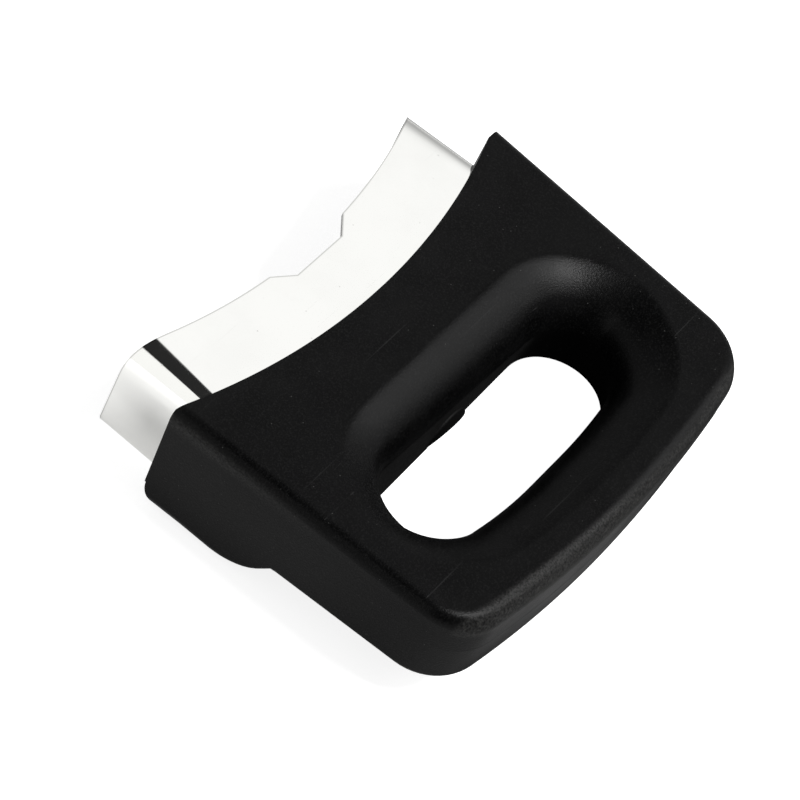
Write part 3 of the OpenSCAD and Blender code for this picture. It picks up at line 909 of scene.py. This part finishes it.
SHEET_GREY, UNDER_SHADOW_GREY = grey(0.6), grey(0.04)
UNDER_WIDE, UNDER_Y = (28, 40), (5, 15, 62, 68)
BEYOND_X, BEYOND_TONE = (-60, -40), (-150, -55, 0.56, 0.34)
FRONT_Y, FRONT_X, FRONT_TONE = (58, 62, 95, 130), (36, 46), (-46, 6, 0.07, 0.36)
BOUNCE_STEPS = ((28, 36, 0.0, 0.46), (37.5, 45, 0.0, -0.19), (39, 52, 0.0, 0.1), (50, 85, 0.0, 0.28))
BOUNCE_Y = 9, 16, 1.0, 0.3
BESIDE_X, BESIDE_FADE, BESIDE_Y = (38, 43, 0.0, 0.3), (48, 62, 1.0, 0.45), (8, 16, 30, 50)
HOLE_SEEN_X, HOLE_SEEN_Y, HOLE_SEEN_WIDE, HOLE_SEEN_DEEP = -6, 39, (31, 34), (14, 17)
WHITE_GLOW, HOLE_GLOW = 0.83, 0.16
paper, n, place = new_material("white_table")
ray = n.add("LightPath").outputs
glossy = ray["Is Glossy Ray"]
x, y, _ = n.in_mm(place)
# Seen only in reflections: a painted shadow under the handle, painted shade beyond the far side and
# in front, and on the near side a glow that the steel's side mirrors as painted light.
under_shadow = n.all_of(n.fade(n.math("ABSOLUTE", x), *UNDER_WIDE), n.band(y, *UNDER_Y), glossy)
beyond = n.all_of(n.fade(x, *BEYOND_X), glossy)
front = n.all_of(n.band(y, *FRONT_Y), n.fade(x, *FRONT_X), glossy)
sheet_colour = n.blend(beyond, SHEET_GREY, n.ramp(x, *BEYOND_TONE))
sheet_colour = n.blend(front, sheet_colour, n.ramp(x, *FRONT_TONE))
sheet = n.add("BsdfDiffuse", Color=n.blend(under_shadow, sheet_colour, UNDER_SHADOW_GREY))
bounce = n.sum_of(*(n.ramp(x, *step) for step in BOUNCE_STEPS))
bounce = n.all_of(bounce, n.ramp(y, *BOUNCE_Y))
beside = n.all_of(n.ramp(x, *BESIDE_X), n.ramp(x, *BESIDE_FADE), n.band(y, *BESIDE_Y))
bounce = n.all_of(n.sum_of(bounce, beside), glossy)
# To the camera the table glows a little more where it is seen through the finger hole: painted light
# that lifts the shadow there.
hole_x = n.math("ABSOLUTE", n.math("SUBTRACT", x, HOLE_SEEN_X))
hole_y = n.math("ABSOLUTE", n.math("SUBTRACT", y, HOLE_SEEN_Y))
through_hole = n.all_of(n.fade(hole_x, *HOLE_SEEN_WIDE), n.fade(hole_y, *HOLE_SEEN_DEEP))
direct = n.math("MAXIMUM", ray["Is Camera Ray"], ray["Is Transmission Ray"])
seen_white = n.all_of(direct, n.sum_of(n.all_of(through_hole, HOLE_GLOW), WHITE_GLOW))
glow = n.add("Emission", Strength=n.sum_of(seen_white, bounce))
both = n.add("AddShader")
n.put(sheet.outputs[0], both.inputs[0])
n.put(glow.outputs[0], both.inputs[1])
below = n.add("MixShader", Fac=n.add("NewGeometry").outputs["Backfacing"])
n.put(both.outputs[0], below.inputs[1])
n.put(n.add("BsdfTransparent").outputs[0], below.inputs[2])
n.end(below)
table.data.materials.append(paper)

# The mirrored room, by direction: dark overhead, with a window that the black top mirrors, one
# that the side mirrors, a bright backdrop and soft walls beside the pot and the front.
ROOM_LIGHT, WHITE, WARM_WHITE = grey(0.34), grey(1.0), (1.0, 1.0, 0.99, 1)
WALL_TONE, OVERHEAD_TONE, OVERHEAD_SPAN = grey(0.25), grey(0.02), (-0.9, -0.3)
WINDOW_MIDDLE, WINDOW_WIDE, WINDOW_ACROSS = 0.19, (0.1, 0.2), (-0.33, -0.25)
WINDOW_TONE = 0.2, 0.765, 0.45, 1.0
SIDE_WINDOW_WIDE, SIDE_WINDOW_ACROSS = (0.18, 0.3), (0.68, 0.76)
BACKDROP_UP, BACKDROP_Y, BACKDROP_X = (0.12, 0.32), (0.2, 0.5), (-0.3, 0.1)
POT_WALL_Y, POT_WALL_UP, POT_WALL_TONE = (-0.6, -0.35), (0.6, 0.85), (-0.5, 0.0, 0.5, 0.6)
FRONT_WALL_Y, FRONT_WALL_X, FRONT_WALL_UP = (0.5, 0.8), (-0.1, 0.2), (0.5, 0.75)
FRONT_WALL_TONE, LEAST_UP = grey(0.4), 0.001
room = bpy.data.worlds.new("white_room")
bpy.context.scene.world = room
room.use_nodes = True
n = Nodes(room.node_tree)
ray = n.add("LightPath").outputs
look_x, look_y, look_up = n.add("SeparateXYZ", Vector=n.add("TexCoord").outputs["Generated"]).outputs
across = n.math("DIVIDE", look_x, n.math("MAXIMUM", look_up, LEAST_UP))
sideways = n.math("ABSOLUTE", n.math("ADD", look_y, WINDOW_MIDDLE))
window = n.all_of(n.fade(sideways, *WINDOW_WIDE), n.fade(across, *WINDOW_ACROSS))
side_window = n.all_of(n.fade(sideways, *SIDE_WINDOW_WIDE), n.ramp(across, *SIDE_WINDOW_ACROSS),
                       n.math("GREATER_THAN", look_x, 0.0))
backdrop = n.all_of(n.fade(look_up, *BACKDROP_UP), n.ramp(look_y, *BACKDROP_Y),
                    n.fade(look_x, *BACKDROP_X))
pot_wall = n.all_of(n.fade(look_y, *POT_WALL_Y), n.fade(look_up, *POT_WALL_UP))
front_wall = n.all_of(n.ramp(look_y, *FRONT_WALL_Y), n.ramp(look_x, *FRONT_WALL_X),
                      n.fade(look_up, *FRONT_WALL_UP))
mirrored_room = n.blend(n.ramp(across, *OVERHEAD_SPAN), WALL_TONE, OVERHEAD_TONE)
for mask, colour in ((backdrop, WHITE), (pot_wall, n.ramp(look_x, *POT_WALL_TONE)),
                     (front_wall, FRONT_WALL_TONE), (window, n.ramp(look_up, *WINDOW_TONE)),
                     (side_window, WARM_WHITE)):
    mirrored_room = n.blend(mask, mirrored_room, colour)
mirrored_room = n.blend(n.math("GREATER_THAN", look_up, 0.0), WHITE, mirrored_room)
seen_room = n.blend(ray["Is Glossy Ray"], WHITE, mirrored_room)
seen = n.fold("MAXIMUM", ray["Is Camera Ray"], ray["Is Glossy Ray"], ray["Is Transmission Ray"])
n.end(n.add("Background", Color=n.blend(seen, ROOM_LIGHT, seen_room)), "OutputWorld")

LAMP_AIM = Vector((0, 0.03, 0))


def soft_lamp(name, toward, distance, size, power):
    """A round soft lamp that looks at the handle from a direction."""
    aim = Vector(toward).normalized()
    data = bpy.data.lights.new(name, "AREA")
    data.shape, data.size, data.energy = "DISK", size, power
    lamp = bpy.data.objects.new(name, data)
    bpy.context.scene.collection.objects.link(lamp)
    lamp.location = LAMP_AIM + aim * distance
    lamp.rotation_mode = "QUATERNION"
    lamp.rotation_quaternion = aim.to_track_quat("Z", "Y")


soft_lamp("key_softbox", (-0.55, 0.52, 0.65), distance=0.8, size=0.5, power=2.2)
soft_lamp("overhead_softbox", (-0.15, 0.42, 0.89), distance=0.9, size=0.26, power=6.2)

CAMERA_AT = 0.352750, 0.108510, 0.432051
CAMERA_RIGHT = Vector((-0.56916, 0.76035, 0.31293))
CAMERA_DOWN = Vector((0.53825, 0.63225, -0.55727))
CAMERA_AHEAD = Vector((-0.62157, -0.14874, -0.76911))
lens = bpy.data.cameras.new("photo_lens")
lens.sensor_width, lens.lens = 36.0, 166.66
lens.clip_start, lens.clip_end = 0.01, 20.0
camera = bpy.data.objects.new("photo_camera", lens)
bpy.context.scene.collection.objects.link(camera)
turn = Matrix((CAMERA_RIGHT, -CAMERA_DOWN, -CAMERA_AHEAD)).transposed().to_4x4()
camera.matrix_world = Matrix.Translation(CAMERA_AT) @ turn
bpy.context.scene.camera = camera
bpy.context.scene.view_settings.view_transform = "Standard"
